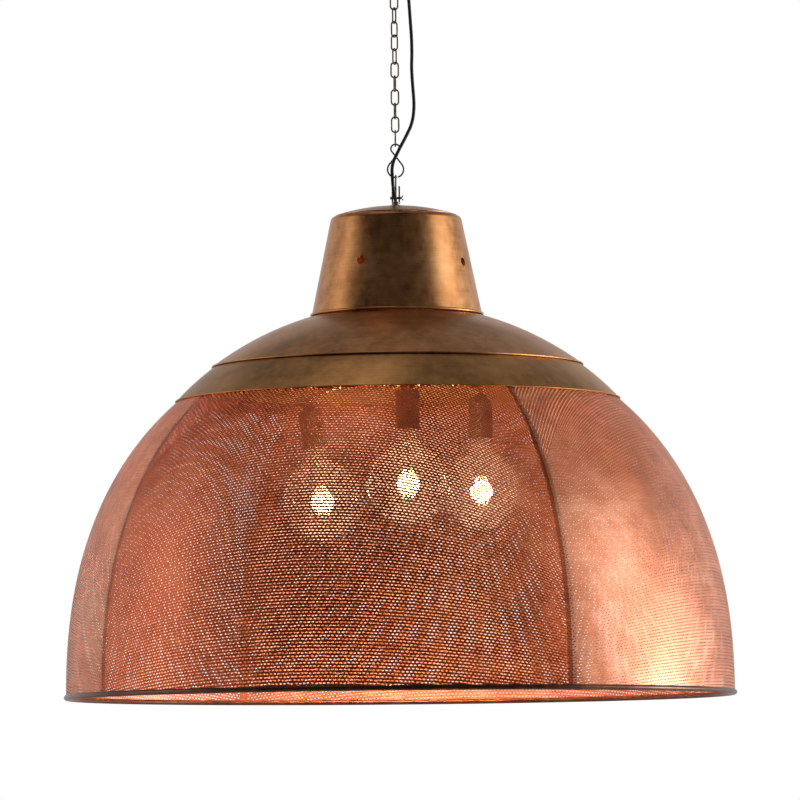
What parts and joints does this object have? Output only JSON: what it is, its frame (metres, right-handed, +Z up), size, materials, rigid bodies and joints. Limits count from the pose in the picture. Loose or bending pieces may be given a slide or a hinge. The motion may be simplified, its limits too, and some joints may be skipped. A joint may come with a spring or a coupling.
{
  "type": "pendant lantern",
  "caption": "Hanging lantern: perforated metal dome with a spun shoulder and tapered cap, lit by globe bulbs and hung on a chain from a ceiling canopy.",
  "frame": {"origin": "centre of the crossbar's upper face, on the ceiling plane, midway between its two screw holes", "axes": "+Z up into the ceiling, -Y towards the viewer of the front, +X to the right seen from the front; the crossbar's screw holes lie along X"},
  "size_m": [1.0226, 1.0226, 1.13],
  "materials": {
    "zinc_steel": "satin",
    "antique_brass": "satin",
    "dark_steel": "satin",
    "aged_copper": "satin",
    "copper_mesh": "satin",
    "dark_copper": "satin",
    "bronze_tube": "satin",
    "dark_socket": "satin",
    "bare_brass": "satin",
    "bulb_cap": "satin",
    "clear_glass": "polished",
    "lit_filament": "gloss",
    "black_rubber": "matte",
    "black_flex": "matte"
  },
  "bodies": {
    "ceiling": {"crossbar": "zinc_steel", "ceiling_nipple": "zinc_steel", "ceiling_nut": "zinc_steel", "canopy": "aged_copper", "canopy_collar": "aged_copper", "ceiling_loop": "antique_brass", "cord_relief": "black_rubber", "cord": "black_flex"},
    "top_link": {"link_01": "antique_brass"},
    "chain": {"link_02": "antique_brass", "link_03": "antique_brass", "link_04": "antique_brass", "link_05": "antique_brass", "link_06": "antique_brass", "link_07": "antique_brass", "link_08": "antique_brass", "link_09": "antique_brass", "link_10": "antique_brass", "link_11": "antique_brass"},
    "hook": {"chain_hook": "dark_steel", "long_link": "antique_brass"},
    "shade": {"clevis": "antique_brass", "clevis_pin": "antique_brass", "stem_washers": "zinc_steel", "stem_nuts": "zinc_steel", "stem": "zinc_steel", "cap_crown": "aged_copper", "crown_bushing": "black_rubber", "cap": "aged_copper", "shoulder": "aged_copper", "band": "aged_copper", "neck_plate": "aged_copper", "mesh_panel_1": "copper_mesh", "mesh_panel_2": "copper_mesh", "mesh_panel_3": "copper_mesh", "mesh_panel_4": "copper_mesh", "seam_strips": "dark_copper", "rim_hem": "dark_copper", "rim_wire": "zinc_steel", "hub": "bronze_tube", "hub_cover": "bronze_tube", "hub_screw": "bronze_tube", "arm_1": "bronze_tube", "arm_2": "bronze_tube", "arm_3": "bronze_tube", "socket_1": "dark_socket", "socket_2": "dark_socket", "socket_3": "dark_socket", "socket_shells": "bare_brass", "socket_contacts": "bare_brass"},
    "bulb_1": {"bulb_base_1": "bulb_cap", "globe_1": "clear_glass", "filament_1": "lit_filament"},
    "bulb_2": {"bulb_base_2": "bulb_cap", "globe_2": "clear_glass", "filament_2": "lit_filament"},
    "bulb_3": {"bulb_base_3": "bulb_cap", "globe_3": "clear_glass", "filament_3": "lit_filament"}
  },
  "joints": [
    {"name": "top_link_swing", "type": "hinge", "parent": "ceiling", "child": "top_link", "pos_m": [0, 0, -0.0553], "axis": [0, 1, 0], "range_deg": [-25, 25], "deforming": ["cord"]},
    {"name": "chain_swing", "type": "hinge", "parent": "top_link", "child": "chain", "pos_m": [0, 0, -0.0752], "axis": [1, 0, 0], "range_deg": [-25, 25]},
    {"name": "hook_swing", "type": "hinge", "parent": "chain", "child": "hook", "pos_m": [0, 0, -0.2852], "axis": [0, 1, 0], "range_deg": [-20, 20]},
    {"name": "clevis_pivot", "type": "hinge", "parent": "hook", "child": "shade", "pos_m": [0, 0, -0.3665], "axis": [1, 0, 0], "range_deg": [-20, 20]},
    {"name": "bulb_1_out", "type": "slide", "parent": "shade", "child": "bulb_1", "axis": [0, 0, -1], "range_m": [0, 0.03]},
    {"name": "bulb_2_out", "type": "slide", "parent": "shade", "child": "bulb_2", "axis": [0, 0, -1], "range_m": [0, 0.03]},
    {"name": "bulb_3_out", "type": "slide", "parent": "shade", "child": "bulb_3", "axis": [0.1324, -0.043, -0.9903], "range_m": [0, 0.03]}
  ]
}
